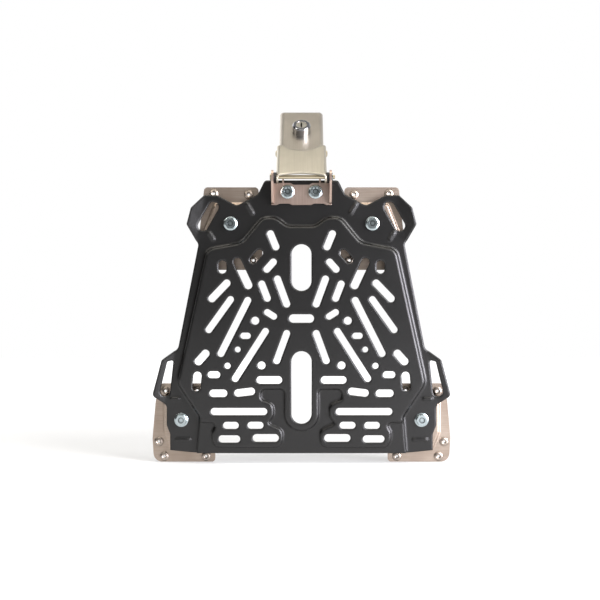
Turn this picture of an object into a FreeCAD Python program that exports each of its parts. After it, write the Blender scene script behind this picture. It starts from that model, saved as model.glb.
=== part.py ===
# Top case mounting plate with its case-side brackets and its hasp latch.
#
# Millimetres. X runs to the right, Z runs up towards the latch, and -Y points out at the rack.
# The origin is on the rack face of the raised panel, midway between the two rack slots.
# Every driving size is a named cell of the sheet "dim", and the sketches, pads, extrusions and
# placements below are bound to those cells.
import FreeCAD, Part
import Sketcher
import math
import os
from FreeCAD import Placement, Rotation, Vector

os.makedirs("parts", exist_ok=True)
doc = FreeCAD.newDocument("top_case_mounting_plate")
sheet = doc.addObject("Spreadsheet::Sheet", "dim")
next_row = 1


def add_size(alias, number):
    """Write one driving size into the sheet under its alias."""
    global next_row
    sheet.set(f"A{next_row}", alias)
    sheet.set(f"B{next_row}", str(number))
    sheet.setAlias(f"B{next_row}", alias)
    next_row += 1

# Driving sizes, each one a cell of the sheet
SIZES = {
    # Levels and sheet metal
    "plate_t": 2.0,  # mounting plate sheet
    "emboss": 8.0,  # panel face to ear face
    "recess": 3.0,  # panel face to recess face
    "rim_flat": 0.4,  # straight wall under the rim bend of the panel
    "bend_in": 2.9,  # inner bend where the panel meets the ears
    "saddle_h": 10.2,  # bracket saddle face to the case
    "bracket_t": 2.0,  # bracket sheet
    "bracket_gap": 0.3,  # bracket saddle to plate
    "saddle_bend": 2.4,  # bends of the bracket saddle
    "fold_lean": 16.0,  # degrees, lean of the strap ears and loop arms
    "fold_reach": 60.0,  # past the outer edge of every fold
    "bead_h": 1.2,  # stiffening bead
    "bead_w": 3.6,  # stiffening bead
    "overlap": 5.0,  # drawn halves past the middle
    "tail_over": 10.0,  # drawn past the lower edge before it is trimmed
    "cut_over": 2.0,  # cutters past the faces
    # Corner bolts, bushes and nuts
    "upper_post_x": 71.4,
    "upper_post_z": 157.0,
    "lower_post_x": 120.9,
    "lower_post_z": -40.7,
    "bolt_r": 3.0,  # M6 shank
    "bolt_clear": 0.3,  # clearance hole about the shank
    "bolt_flange_r": 7.1,
    "bolt_flange_h": 1.5,
    "bolt_head_h": 6.0,
    "bolt_hex_r": 5.77,  # corner radius of the 10 mm hexagon
    "bolt_dish_r": 3.0,
    "bolt_dish_d": 1.6,
    "thread_out": 1.2,  # corner bolt past its nut
    "bush_neck_r": 6.0,
    "bush_head_r": 8.8,
    "bush_head_h": 2.5,
    "bush_clear": 0.1,  # bush about the shank
    "neck_clear": 0.3,  # keyhole slot about the bush neck
    "entry_clear": 0.5,  # keyhole entry about the bush head
    "entry_drop": 17.5,  # entry below the post
    "nut_h": 3.2,
    "nut_clear": 0.05,  # nut about the shank
    # Blind rivets
    "rivet_head_r": 4.75,
    "rivet_head_h": 1.6,
    "rivet_shank_r": 2.4,
    "rivet_clear": 0.05,  # bracket hole about the rivet
    "rivet_bore_r": 1.3,
    # Latch base
    "base_bolt_up": 31.8,  # upper corner bolts to base bolts
    "base_below": 13.2,  # base bolts to the lower edge
    "base_above": 8.9,  # base bolts to the upper edge
    "base_t": 2.0,
    "washer_h": 2.6,  # between hasp and base ear
    "washer_gap": 0.1,  # on each side of a washer
    "base_ear_t": 2.2,
    "base_bolt_x": 14.0,
    "base_thread_out": 0.5,  # base bolt past its nut
    "base_nut_h": 5.0,
    "pivot_y": -2.0,
    "pivot_up": 14.0,  # base bolts to the hinge pin
    "ear_nose_r": 7.0,
    "pin_r": 2.0,
    "pin_clear": 0.05,  # holes about the hinge pin
    "pin_head_r": 3.4,
    "pin_head_h": 1.4,
    "pin_tail": 3.2,  # pin past the ear
    "clip_r": 4.2,
    "clip_h": 1.0,
    "washer_r": 4.6,
    "stop_x": 18.5,  # stop tabs on the base
    "stop_w": 1.6,
    "stop_up": 12.8,  # base bolts to the top of the stops
    "stop_front_y": 3.2,
    "dip_half": 8.0,  # dip in the upper edge of the base
    "dip_d": 1.8,
    "wave_in": 9.5,  # two shallow waves in the lower edge of the base
    "wave_out": 25.0,
    "wave_d": 1.4,
    "edge_run": 3.0,  # slanted run at each end of the dip and the waves
    # Hasp, drawn upright about its pin and then leaned back over the case edge
    "hasp_lean": -45.0,  # degrees about X
    "sleeve_half": 25.2,
    "sleeve_t": 2.0,
    "sleeve_face": 6.0,  # face in front of the pin
    "sleeve_back": 6.0,  # flange edge behind the pin
    "sleeve_top": 44.6,
    "sleeve_bend": 3.2,
    "scoop_half": 20.0,  # concave top edge
    "scoop_d": 8.4,
    "mouth_half": 21.0,  # arched lower edge above the pin
    "mouth_d": 3.0,
    "tongue_gap": 0.5,  # tongue to the inside of the sleeve
    "tongue_t": 1.5,
    "tongue_root": 22.0,
    "tongue_tip": 104.0,
    "tongue_back": 8.0,  # flange edge behind the pin
    "tongue_bend": 4.4,
    "tongue_tip_r": 5.0,
    "cross_y": 1.0,
    "cross_z": 39.0,
    "cross_r": 2.0,
    "cross_clear": 0.05,  # holes about the tongue rivet
    "cross_head_r": 3.5,
    "cross_head_h": 1.5,
    # Key lock
    "lock_z": 69.1,
    "lock_head_r": 9.3,
    "lock_head_h": 9.8,
    "lock_body_r": 8.0,
    "lock_clear": 0.1,  # hole about the lock body
    "lock_tail": 8.0,  # tongue face to barrel end
    "lock_edge": 1.1,
    "plug_r": 5.63,
    "plug_clear": 0.07,  # barrel about the plug
    "plug_set_back": 0.5,
    "key_w": 1.6,
    "key_h": 7.6,
    "key_d": 9.0,
    "ring_hex_r": 12.1,
    "ring_h": 3.4,
    "cam_t": 2.0,
    "cam_w": 10.0,
    "cam_len": 16.0,
    "cam_screw_r": 4.0,
    "cam_screw_h": 2.2,
    "cam_screw_shank_r": 2.0,
    "cam_screw_clear": 0.05,  # holes about the cam screw
    "cam_screw_len": 5.0,
    "shelf_z": -2.5,  # recess corner at the panel wall, from the lower bolts
    "shelf_r": 3.0,
}

# Corners of the sheet outlines: name, anchor, x and z from the anchor, and corner radius,
# for the right half and clockwise from the top
PLATE_EDGE = [
    ("tab", "top", 37.0, 43.5, 4.0),
    ("tab_foot", "top", 43.8, 29.5, 5.0),
    ("notch", "upper_post", -6.4, 18.0, 5.0),
    ("ear_in", "upper_post", 13.6, 28.6, 5.0),
    ("ear_top", "upper_post", 26.6, 28.6, 3.0),
    ("ear_shoulder", "upper_post", 40.0, 16.0, 4.0),
    ("ear_tip", "upper_post", 44.4, -0.8, 3.0),
    ("ear_waist", "upper_post", 32.4, -21.0, 5.0),
    ("arm_root", "lower_post", 3.4, 71.7, 7.0),
    ("arm_top", "lower_post", 19.9, 60.3, 4.0),
    ("arm_tip", "lower_post", 29.3, 24.4, 4.5),
    ("arm_foot", "lower_post", 14.7, 14.7, 6.0),
    ("bolt_ear", "lower_post", 14.9, -5.3, 7.0),
    ("bolt_ear_low", "lower_post", 11.3, -14.3, 6.0),
    ("foot", "lower_post", 11.3, -30.5, 0.0),
    ("strip_end", "lower_post", -12.9, -32.9, 0.0),
]
PANEL_EDGE = [
    ("dip", "top", 14.2, -3.2, 12.0),
    ("crest_in", "top", 25.3, 5.7, 14.0),
    ("crest_out", "top", 38.9, 5.7, 12.0),
    ("valley", "upper_post", -11.6, -19.8, 18.0),
    ("shoulder", "upper_post", 23.5, -26.3, 10.0),
    ("hip", "lower_post", 3.5, 37.3, 14.0),
    ("waist", "lower_post", -19.1, 3.7, 7.0),
]
PANEL_FOOT = ("panel_foot", "lower_post", -16.1, -32.9, 0.0)
RECESS_EDGE = [
    ("shelf_in", "lower_post", -35.9, -2.5, 3.0),
    ("pad_out", "lower_post", -30.9, -11.3, 8.0),
    ("pad_out_low", "lower_post", -30.9, -27.1, 9.7),
    ("pad_in_low", "low", 18.4, -27.1, 8.8),
    ("pad_in", "low", 18.4, -9.3, 7.5),
    ("pad_notch", "low", 33.5, -2.5, 2.2),
    ("neck_low", "low", 27.6, 3.7, 8.0),
    ("neck_high", "low", 27.6, 16.7, 8.0),
    ("lobe", "low", 40.3, 21.2, 4.0),
    ("lobe_top", "low", 40.3, 31.0, 4.5),
    ("rim_top", "low", 17.4, 31.0, 3.5),
    ("rim_foot", "low", 17.4, -10.3, 17.0),
]
LOOP_HOLE = [
    ("loop_in", "lower_post", 8.1, 60.3, 1.6),
    ("loop_out", "lower_post", 14.3, 58.7, 1.6),
    ("loop_low_out", "lower_post", 22.7, 23.9, 4.6),
    ("loop_low_in", "lower_post", 12.0, 23.9, 4.4),
]
UPPER_FOOT = [
    ("upper_top_in", "upper_post", -27.5, 37.6, 4.0),
    ("upper_top_out", "upper_post", 27.5, 37.6, 4.0),
    ("upper_side", "upper_post", 28.8, 25.0, 12.0),
    ("upper_side_low", "upper_post", 32.6, -11.0, 12.0),
    ("upper_low_out", "upper_post", 32.6, -46.4, 5.0),
    ("upper_low_in", "upper_post", -31.6, -46.4, 5.0),
    ("upper_in", "upper_post", -31.6, -15.0, 12.0),
]
UPPER_SADDLE = [
    ("saddle_top_in", "upper_post", -24.4, 20.5, 5.0),
    ("saddle_top_out", "upper_post", 16.1, 20.5, 5.0),
    ("saddle_side", "upper_post", 26.9, -7.0, 8.0),
    ("saddle_low_out", "upper_post", 26.9, -30.0, 6.0),
    ("saddle_low_in", "upper_post", -13.4, -30.0, 6.0),
    ("saddle_in", "upper_post", -24.4, -19.0, 6.0),
]
LOWER_FOOT = [
    ("lower_top_in", "lower_post", -22.9, 36.0, 3.0),
    ("lower_top_out", "lower_post", 21.7, 36.0, 3.0),
    ("lower_side", "lower_post", 27.3, 18.7, 20.0),
    ("lower_side_low", "lower_post", 30.5, -19.3, 30.0),
    ("lower_low_out", "lower_post", 29.1, -43.6, 9.0),
    ("lower_low_in", "lower_post", -33.2, -43.6, 3.2),
    ("lower_toe", "lower_post", -33.2, -30.3, 3.2),
    ("lower_in", "lower_post", -22.9, -24.3, 5.0),
]
LOWER_SADDLE = [
    ("hump_top_in", "lower_post", -16.9, 19.7, 5.0),
    ("hump_top_out", "lower_post", 18.6, 19.7, 5.0),
    ("hump_side", "lower_post", 18.6, -13.3, 6.0),
    ("hump_low_out", "lower_post", 12.1, -30.3, 5.0),
    ("hump_low_in", "lower_post", -16.9, -30.3, 5.0),
]

# Slots of the panel: name, anchor, x and z of the two end centres, and the width, right half
PAIRED_SLOTS = [
    ("crown", "top", 31.0, -10.7, 25.6, -23.8, 7.0),
    ("brow", "top", 42.0, -30.0, 48.2, -37.0, 7.0),
    ("temple", "top", 28.2, -39.0, 34.6, -46.2, 7.0),
    ("corner_up", "top", 79.1, -41.5, 79.1, -46.5, 8.0),
    ("long_fan", "top", 64.0, -39.0, 53.2, -62.2, 8.0),
    ("wing", "middle", 74.8, 96.8, 89.5, 81.5, 7.5),
    ("short_fan", "middle", 39.7, 96.0, 34.2, 81.8, 7.0),
    ("inner_fan", "middle", 24.0, 101.0, 14.8, 76.0, 7.0),
    ("outer_wing", "middle", 71.0, 80.5, 92.7, 50.3, 6.8),
    ("outer_blade", "middle", 53.8, 79.6, 80.6, 26.5, 7.0),
    ("stub", "middle", 34.2, 67.7, 27.7, 63.6, 6.5),
    ("dash", "middle", 53.9, 44.2, 58.1, 44.2, 6.3),
    ("inner_blade", "middle", 36.0, 48.7, 66.3, 1.4, 6.8),
    ("stem", "middle", 14.8, 46.6, 24.8, 19.3, 6.8),
    ("elbow", "lower_post", -24.9, 67.1, -17.9, 59.4, 8.0),
    ("side", "lower_post", -16.8, 44.9, -15.7, 33.7, 8.3),
    ("short_dash", "middle", 84.8, 5.3, 90.4, 5.3, 7.0),
    ("rack", "middle", 23.2, 0.0, 41.2, 0.0, 7.7),
    ("outer_row", "middle", 78.0, -13.3, 88.4, -13.3, 7.6),
    ("inner_row", "middle", 63.5, -13.0, 50.3, -11.4, 7.6),
    ("long_row", "low", 37.9, 9.1, 87.3, 9.1, 7.3),
    ("pad_a", "lower_post", -54.6, -4.7, -46.0, -4.7, 7.1),
    ("pad_b", "low", 41.6, -4.6, 50.5, -4.6, 7.1),
    ("pad_c", "lower_post", -55.9, -18.3, -41.6, -18.3, 7.4),
    ("pad_d", "low", 26.6, -17.3, 45.0, -17.3, 7.8),
    ("ear_slot", "upper_post", 17.2, 16.7, 27.8, -2.0, 10.5),
]
CENTRE_SLOTS = [
    ("upper_centre", "top", 0.0, -31.1, 0.0, -57.9, 19.8),
    ("bridge", "middle", -8.3, 61.5, 8.3, 61.5, 8.4),
    ("lower_centre", "middle", 0.0, 18.8, 0.0, -33.8, 20.0),
]
ROUND_HOLES = [
    ("eye", "middle", 46.3, 59.3, 4.0),
    ("small_eye", "middle", 63.8, 30.5, 2.9),
    ("outer_eye", "middle", 74.0, 14.2, 3.1),
    ("inner_eye", "middle", 40.0, 14.6, 4.0),
]
BEADS = [
    ("bead_a", "upper_post", -16.8, 19.2, -21.8, 10.6),
    ("bead_b", "upper_post", 21.6, -9.4, 17.6, -15.6),
    ("bead_c", "lower_post", 2.9, 21.0, 9.5, 21.0),
    ("bead_d", "lower_post", -7.7, -20.0, 4.3, -20.0),
]
# Fold lines of the strap ears and loop arms, whose outer sides lean out towards the rack
FOLDS = [
    ("ear_fold", "upper_post", 24.1, 31.0, 35.1, -20.0),
    ("arm_fold", "lower_post", 6.1, 72.7, 17.1, 12.7),
]
UPPER_RIVETS = [
    ("upper_rivet_a", "upper_post", 17.6, 31.0),
    ("upper_rivet_b", "upper_post", -17.8, 30.0),
    ("upper_rivet_c", "upper_post", -22.6, -36.8),
]
LOWER_RIVETS = [
    ("lower_rivet_a", "lower_post", 17.4, 28.2),
    ("lower_rivet_b", "lower_post", -15.1, 28.7),
    ("lower_rivet_c", "lower_post", 24.0, -23.2),
    ("lower_rivet_d", "lower_post", 18.4, -38.1),
    ("lower_rivet_e", "lower_post", -24.0, -38.1),
]
ANCHORS = {
    "middle": ("0", "0"),
    "top": ("0", "dim.upper_post_z"),
    "low": ("0", "dim.lower_post_z"),
    "upper_post": ("dim.upper_post_x", "dim.upper_post_z"),
    "lower_post": ("dim.lower_post_x", "dim.lower_post_z"),
}


def spot(anchor, name, end=""):
    """Expressions for a place that is given from its anchor."""
    x, z = ANCHORS[anchor]
    return f"({x} + dim.{name}_x{end})", f"({z} + dim.{name}_z{end})"


for alias, number in SIZES.items():
    add_size(alias, number)
CORNERS, SLOT_ENDS, RIVET_SPOTS = {}, {}, {}
for table in (PLATE_EDGE, PANEL_EDGE, [PANEL_FOOT], RECESS_EDGE, LOOP_HOLE, UPPER_FOOT, UPPER_SADDLE,
              LOWER_FOOT, LOWER_SADDLE, ROUND_HOLES):
    for name, anchor, x, z, radius in table:
        add_size(f"{name}_x", x)
        add_size(f"{name}_z", z)
        add_size(f"{name}_r", radius)
        CORNERS[name] = (*spot(anchor, name), f"dim.{name}_r")
for name, anchor, x1, z1, x2, z2, *width in PAIRED_SLOTS + CENTRE_SLOTS + BEADS + FOLDS:
    add_size(f"{name}_x_a", x1)
    add_size(f"{name}_z_a", z1)
    add_size(f"{name}_x_b", x2)
    add_size(f"{name}_z_b", z2)
    if width:
        add_size(f"{name}_w", width[0])
    SLOT_ENDS[name] = (*spot(anchor, name, "_a"), *spot(anchor, name, "_b"))
for name, anchor, x, z in UPPER_RIVETS + LOWER_RIVETS:
    add_size(f"{name}_x", x)
    add_size(f"{name}_z", z)
    RIVET_SPOTS[name] = spot(anchor, name)
doc.recompute()

# Sizes and places that follow from the driving sizes
EAR_BACK = "(dim.emboss + dim.plate_t)"
SADDLE_FACE = f"({EAR_BACK} + dim.bracket_gap)"
CASE_Y = f"({SADDLE_FACE} + dim.saddle_h)"
BEND_OUT = "(dim.recess - dim.rim_flat)"
BOLT_HOLE_R = "(dim.bolt_r + dim.bolt_clear)"
BUSH_BORE_R = "(dim.bolt_r + dim.bush_clear)"
NUT_BORE_R = "(dim.bolt_r + dim.nut_clear)"
NECK_SLOT_R = "(dim.bush_neck_r + dim.neck_clear)"
ENTRY_R = "(dim.bush_head_r + dim.entry_clear)"
RIVET_HOLE_R = "(dim.rivet_shank_r + dim.rivet_clear)"
PIN_HOLE_R = "(dim.pin_r + dim.pin_clear)"
CROSS_HOLE_R = "(dim.cross_r + dim.cross_clear)"
LOCK_HOLE_R = "(dim.lock_body_r + dim.lock_clear)"
PLUG_BORE_R = "(dim.plug_r + dim.plug_clear)"
CAM_SCREW_HOLE_R = "(dim.cam_screw_shank_r + dim.cam_screw_clear)"
BUSH_NECK_H = "(dim.bracket_t + 2 * dim.bracket_gap)"
NUT_SEAT = f"({EAR_BACK} + {BUSH_NECK_H} + dim.bush_head_h)"
POST_LEN = f"({NUT_SEAT} - dim.emboss + dim.nut_h + dim.thread_out)"
BASE_BOLT_LEN = "(dim.base_t + dim.plate_t + dim.base_nut_h + dim.base_thread_out)"
BASE_HALF = "(dim.sleeve_half + dim.washer_h + 2 * dim.washer_gap + dim.base_ear_t)"
BASE_BEND = "(0.95 * dim.base_t)"
BASE_BOLT_Z = "(dim.upper_post_z + dim.base_bolt_up)"
BASE_BOTTOM_Z = f"({BASE_BOLT_Z} - dim.base_below)"
BASE_TOP_Z = f"({BASE_BOLT_Z} + dim.base_above)"
PIVOT_Z = f"({BASE_BOLT_Z} + dim.pivot_up)"
STOP_TOP_Z = f"({BASE_BOLT_Z} + dim.stop_up)"
TONGUE_HALF = "(dim.sleeve_half - dim.sleeve_t - dim.tongue_gap)"


def value(expression):
    """Number that an expression over the sheet gives now."""
    return float(sheet.evalExpression(expression))


# Sketch planes: facing the rack (x, z), seen from the side (y, z) and seen from above (x, y)
FACING = Rotation(Vector(1, 0, 0), 90)
SIDE = Rotation(Vector(1, 1, 1), 120)
ABOVE = Rotation()


def free_sketch(name, plane, axis=None, at=None):
    """Sketch on one of the three planes, moved along its world axis by an expression."""
    sketch = doc.addObject("Sketcher::SketchObject", name)
    sketch.Placement = Placement(Vector(), plane)
    if axis:
        sketch.setExpression(f"Placement.Base.{axis}", at)
    return sketch


def body_sketch(body, name, role, offset=None):
    """Sketch on an origin plane of a body, lifted along the plane's normal by an expression."""
    sketch = body.newObject("Sketcher::SketchObject", name)
    plane = [item for item in body.Origin.OriginFeatures if item.Role == role][0]
    sketch.AttachmentSupport = [(plane, "")]
    sketch.MapMode = "FlatFace"
    if offset:
        sketch.setExpression("AttachmentOffset.Base.z", offset)
    return sketch


def pinned(geometry, point, x, y):
    """Rules that hold a sketch point at two bound distances from the sketch origin."""
    return [
        (Sketcher.Constraint("DistanceX", -1, 1, geometry, point, value(x)), x),
        (Sketcher.Constraint("DistanceY", -1, 1, geometry, point, value(y)), y),
    ]


def outline(sketch, corners):
    """Closed outline through corners (x, y, radius as expressions), each corner rounded."""
    count = len(corners)
    points = [Vector(value(x), value(y), 0) for x, y, radius in corners]
    radii = [value(radius) for x, y, radius in corners]
    before, after, turns = [], [], []
    for i in range(count):
        into = (points[i] - points[i - 1]).normalize()
        out = (points[(i + 1) % count] - points[i]).normalize()
        turn = math.atan2(into.x * out.y - into.y * out.x, into.dot(out))
        reach = radii[i] * math.tan(abs(turn) / 2)
        before.append(points[i] - into * reach)
        after.append(points[i] + out * reach)
        left = Vector(-into.y, into.x, 0)
        turns.append((before[i] + left * math.copysign(radii[i], turn), turn))
    lines = []
    for i in range(count):
        lines.append(sketch.addGeometry(Part.LineSegment(after[i - 1], before[i])))
    rules = []
    for i in range(count):
        into, out = lines[i], lines[(i + 1) % count]
        x, y, radius = corners[i]
        if radii[i] == 0:
            rules.append((Sketcher.Constraint("Coincident", into, 2, out, 1), None))
            rules += pinned(into, 2, x, y)
            continue
        centre, turn = turns[i]
        first, last = (before[i], after[i]) if turn > 0 else (after[i], before[i])
        start = math.atan2(first.y - centre.y, first.x - centre.x)
        end = math.atan2(last.y - centre.y, last.x - centre.x)
        circle = Part.Circle(centre, Vector(0, 0, 1), radii[i])
        arc = sketch.addGeometry(Part.ArcOfCircle(circle, start, end))
        near, far = (1, 2) if turn > 0 else (2, 1)
        corner = sketch.addGeometry(Part.Point(points[i]), True)
        rules.append((Sketcher.Constraint("Tangent", into, 2, arc, near), None))
        rules.append((Sketcher.Constraint("Tangent", arc, far, out, 1), None))
        rules.append((Sketcher.Constraint("PointOnObject", corner, 1, into), None))
        rules.append((Sketcher.Constraint("PointOnObject", corner, 1, out), None))
        rules += pinned(corner, 1, x, y)
        rules.append((Sketcher.Constraint("Radius", arc, radii[i]), radius))
    return rules


def slot(sketch, x1, y1, x2, y2, width):
    """Round-ended slot between two end centres, all given as expressions."""
    a = Vector(value(x1), value(y1), 0)
    b = Vector(value(x2), value(y2), 0)
    radius = value(width) / 2
    along = (b - a).normalize()
    left = Vector(-along.y, along.x, 0) * radius
    heading = math.atan2(along.y, along.x)
    up = Vector(0, 0, 1)
    quarter = math.pi / 2
    round_b = Part.ArcOfCircle(Part.Circle(b, up, radius), heading - quarter, heading + quarter)
    round_a = Part.ArcOfCircle(Part.Circle(a, up, radius), heading + quarter, heading - quarter)
    arc_b = sketch.addGeometry(round_b)
    arc_a = sketch.addGeometry(round_a)
    upper = sketch.addGeometry(Part.LineSegment(b + left, a + left))
    lower = sketch.addGeometry(Part.LineSegment(a - left, b - left))
    rules = [
        (Sketcher.Constraint("Tangent", arc_b, 2, upper, 1), None),
        (Sketcher.Constraint("Tangent", upper, 2, arc_a, 1), None),
        (Sketcher.Constraint("Tangent", arc_a, 2, lower, 1), None),
        (Sketcher.Constraint("Tangent", lower, 2, arc_b, 1), None),
        (Sketcher.Constraint("Radius", arc_b, radius), f"({width}) / 2"),
    ]
    return rules + pinned(arc_a, 3, x1, y1) + pinned(arc_b, 3, x2, y2)


def hole(sketch, x, y, radius):
    """Round hole at a bound centre."""
    circle = Part.Circle(Vector(value(x), value(y), 0), Vector(0, 0, 1), value(radius))
    ring = sketch.addGeometry(circle)
    return pinned(ring, 3, x, y) + [(Sketcher.Constraint("Radius", ring, value(radius)), radius)]


def hexagon(x, y, corner_radius):
    """Corners of a hexagon with one corner to the right, about a bound centre."""
    corners = []
    for step in range(6):
        across = f"{x} + {corner_radius} * cos({60 * step})"
        along = f"{y} + {corner_radius} * sin({60 * step})"
        corners.append((across, along, "0"))
    return corners


def draw(sketch, outlines=(), slots=(), holes=()):
    """Fill a sketch with shapes and bind all of their dimensions in one go."""
    rules = []
    for corners in outlines:
        rules += outline(sketch, corners)
    for ends in slots:
        rules += slot(sketch, *ends)
    for ring in holes:
        rules += hole(sketch, *ring)
    numbers = sketch.addConstraint([rule for rule, expression in rules])
    for number, (rule, expression) in zip(numbers, rules):
        if expression:
            sketch.setExpression(f"Constraints[{number}]", expression)


def cells(table):
    """Corner expressions of a table of corners."""
    return [CORNERS[row[0]] for row in table]


def extrude(name, base, length, reverse="0"):
    """Extrude an outline along the normal of its sketch plane by an expression, and back by another."""
    solid = doc.addObject("Part::Extrusion", name)
    solid.Base = base
    solid.DirMode = "Custom"
    drawn = base.Source if base.TypeId == "Part::Offset2D" else base
    solid.Dir = drawn.Placement.Rotation.multVec(Vector(0, 0, 1))
    solid.Solid = True
    solid.setExpression("LengthFwd", length)
    solid.setExpression("LengthRev", reverse)
    return solid


def inset(name, sketch, distance):
    """Outline offset inwards by an expression."""
    outline = doc.addObject("Part::Offset2D", name)
    outline.Source = sketch
    outline.Join = "Intersection"
    outline.setExpression("Value", f"-({distance})")
    return outline


def fuse(name, pieces):
    whole = doc.addObject("Part::MultiFuse", name)
    whole.Shapes = pieces
    whole.Refine = True
    doc.recompute()
    return whole


def cut(name, base, tool):
    rest = doc.addObject("Part::Cut", name)
    rest.Base = base
    rest.Tool = tool
    rest.Refine = True
    doc.recompute()
    return rest


def round_edges(name, base, choices):
    """Round edges of a solid: choices are (test on the edge, radius)."""
    rounded = doc.addObject("Part::Fillet", name)
    rounded.Base = base
    picked = []
    for index, edge in enumerate(base.Shape.Edges, 1):
        for test, radius in choices:
            if test(edge):
                picked.append((index, radius, radius))
                break
    rounded.Edges = picked
    doc.recompute()
    return rounded


def lies_at(edge, y):
    """Whole edge lies in the plane at this depth."""
    return abs(edge.BoundBox.YMin - y) < 1e-4 and abs(edge.BoundBox.YMax - y) < 1e-4


def follows(edge, outline):
    """Edge runs along an outline of the right half, or along its mirror image, at any depth."""
    middle = edge.valueAt((edge.FirstParameter + edge.LastParameter) / 2)
    depth = outline.BoundBox.YMin
    return outline.distToShape(Part.Vertex(abs(middle.x), depth, middle.z))[0] < 1e-3


def mirror(name, source):
    twin = doc.addObject("Part::Mirroring", name)
    twin.Source = source
    twin.Normal = Vector(1, 0, 0)
    doc.recompute()
    return twin


def copies(name, source, places):
    """Group of equal solids: links to one solid, each at a bound place."""
    links = []
    for number, (x, y, z) in enumerate(places, 1):
        link = doc.addObject("App::Link", f"{name}_{number}")
        link.LinkedObject = source
        link.setExpression("Placement.Base.x", x)
        link.setExpression("Placement.Base.y", y)
        link.setExpression("Placement.Base.z", z)
        links.append(link)
    whole = doc.addObject("Part::Compound", name)
    whole.Links = links
    doc.recompute()
    return whole


def turned(name, profile):
    """Body turned about its Y axis from a closed profile of (radius, y) expressions."""
    body = doc.addObject("PartDesign::Body", name)
    sketch = body_sketch(body, f"{name}_profile", "XY_Plane")
    draw(sketch, [[(radius, depth, "0") for radius, depth in profile]])
    spin = body.newObject("PartDesign::Revolution", f"{name}_turned")
    spin.Profile = sketch
    spin.ReferenceAxis = (sketch, ["V_Axis"])
    spin.Angle = 360
    doc.recompute()
    return body


def pad(body, name, sketch, length):
    feature = body.newObject("PartDesign::Pad", name)
    feature.Profile = sketch
    feature.setExpression("Length", length)
    doc.recompute()
    return feature


def pocket(body, name, sketch, length):
    feature = body.newObject("PartDesign::Pocket", name)
    feature.Profile = sketch
    feature.setExpression("Length", length)
    doc.recompute()
    return feature


# Mounting plate: flat blank, panel and recess levels, hollowed from behind by the sheet thickness
WAIST_X, WAIST_Z, waist_r = CORNERS["waist"]
PANEL_FOOT_X, PANEL_FOOT_Z, panel_foot_r = CORNERS["panel_foot"]
FOOT_X, FOOT_Z, foot_r = CORNERS["foot"]
STRIP_END_X, STRIP_END_Z, strip_end_r = CORNERS["strip_end"]
FOOT_SLOPE = f"({PANEL_FOOT_X} - {WAIST_X}) / ({WAIST_Z} - {PANEL_FOOT_Z})"
SHELF_Z = "(dim.lower_post_z + dim.shelf_z)"
SHELF = (f"{WAIST_X} + {FOOT_SLOPE} * ({WAIST_Z} - {SHELF_Z})", SHELF_Z, "dim.shelf_r")
OPEN_FOOT = (f"{PANEL_FOOT_X} + {FOOT_SLOPE} * dim.tail_over", f"{PANEL_FOOT_Z} - dim.tail_over", "0")


def right_half(corners):
    """Right half of a symmetric outline, closed a little past the middle so that the halves overlap."""
    return corners + [("-dim.overlap", corners[-1][1], "0"), ("-dim.overlap", corners[0][1], "0")]


blank_sketch = free_sketch("blank_outline", FACING, "y", EAR_BACK)
OVERRUN = f"{PANEL_FOOT_Z} - dim.tail_over"
blank_corners = cells(PLATE_EDGE[:-2]) + [(FOOT_X, OVERRUN, "0")]
draw(blank_sketch, [right_half(blank_corners)])
panel_sketch = free_sketch("panel_outline", FACING, "y", EAR_BACK)
draw(panel_sketch, [right_half(cells(PANEL_EDGE) + [OPEN_FOOT])])
top_sketch = free_sketch("top_outline", FACING, "y", "dim.recess")
draw(top_sketch, [right_half(cells(PANEL_EDGE) + [SHELF] + cells(RECESS_EDGE))])
blank = extrude("blank", blank_sketch, "dim.plate_t")
panel = extrude("panel", panel_sketch, f"{EAR_BACK} - dim.recess")
top = extrude("top", top_sketch, "dim.recess")
doc.recompute()
panel_wire = panel_sketch.Shape
ear_face = value("dim.emboss")


def common(name, shapes):
    shared = doc.addObject("Part::MultiCommon", name)
    shared.Shapes = shapes
    doc.recompute()
    return shared


def folded_out(name, sheet_solid):
    """Sheet whose side beyond a fold line is turned out towards the rack, with a rounded back."""
    x1, z1, x2, z2 = [value(place) for place in SLOT_ENDS[name]]
    start, end = Vector(x1, ear_face, z1), Vector(x2, ear_face, z2)
    length = (end - start).Length
    line = (end - start) / length
    back = Vector(0, 1, 0)
    out = back.cross(line) * -1
    beyond = doc.addObject("Part::Box", f"{name}_beyond")
    beyond.setExpression("Length", "dim.fold_reach")
    beyond.setExpression("Width", "dim.fold_reach")
    beyond.Height = length
    beyond.Placement = Placement(end - back * (value("dim.fold_reach") / 2), Rotation(out, back, line * -1))
    wedge = doc.addObject("Part::Cylinder", f"{name}_wedge")
    wedge.setExpression("Radius", "dim.plate_t")
    wedge.setExpression("Angle", "dim.fold_lean")
    wedge.Height = length
    wedge.Placement = Placement(start, Rotation(back, out, line))
    doc.recompute()
    outer = common(f"{name}_outer", [sheet_solid, beyond])
    outer.Placement = Placement(Vector(), Rotation(line, value("dim.fold_lean")), start)
    inner = cut(f"{name}_inner", sheet_solid, beyond)
    return fuse(f"{name}_sheet", [inner, outer, common(f"{name}_bend", [wedge, sheet_solid])])


folded = blank
for row in FOLDS:
    folded = folded_out(row[0], folded)
overrun = value(OVERRUN)


def is_panel_root(edge):
    return lies_at(edge, ear_face) and follows(edge, panel_wire) and edge.BoundBox.ZMax > overrun + 1e-3


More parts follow.
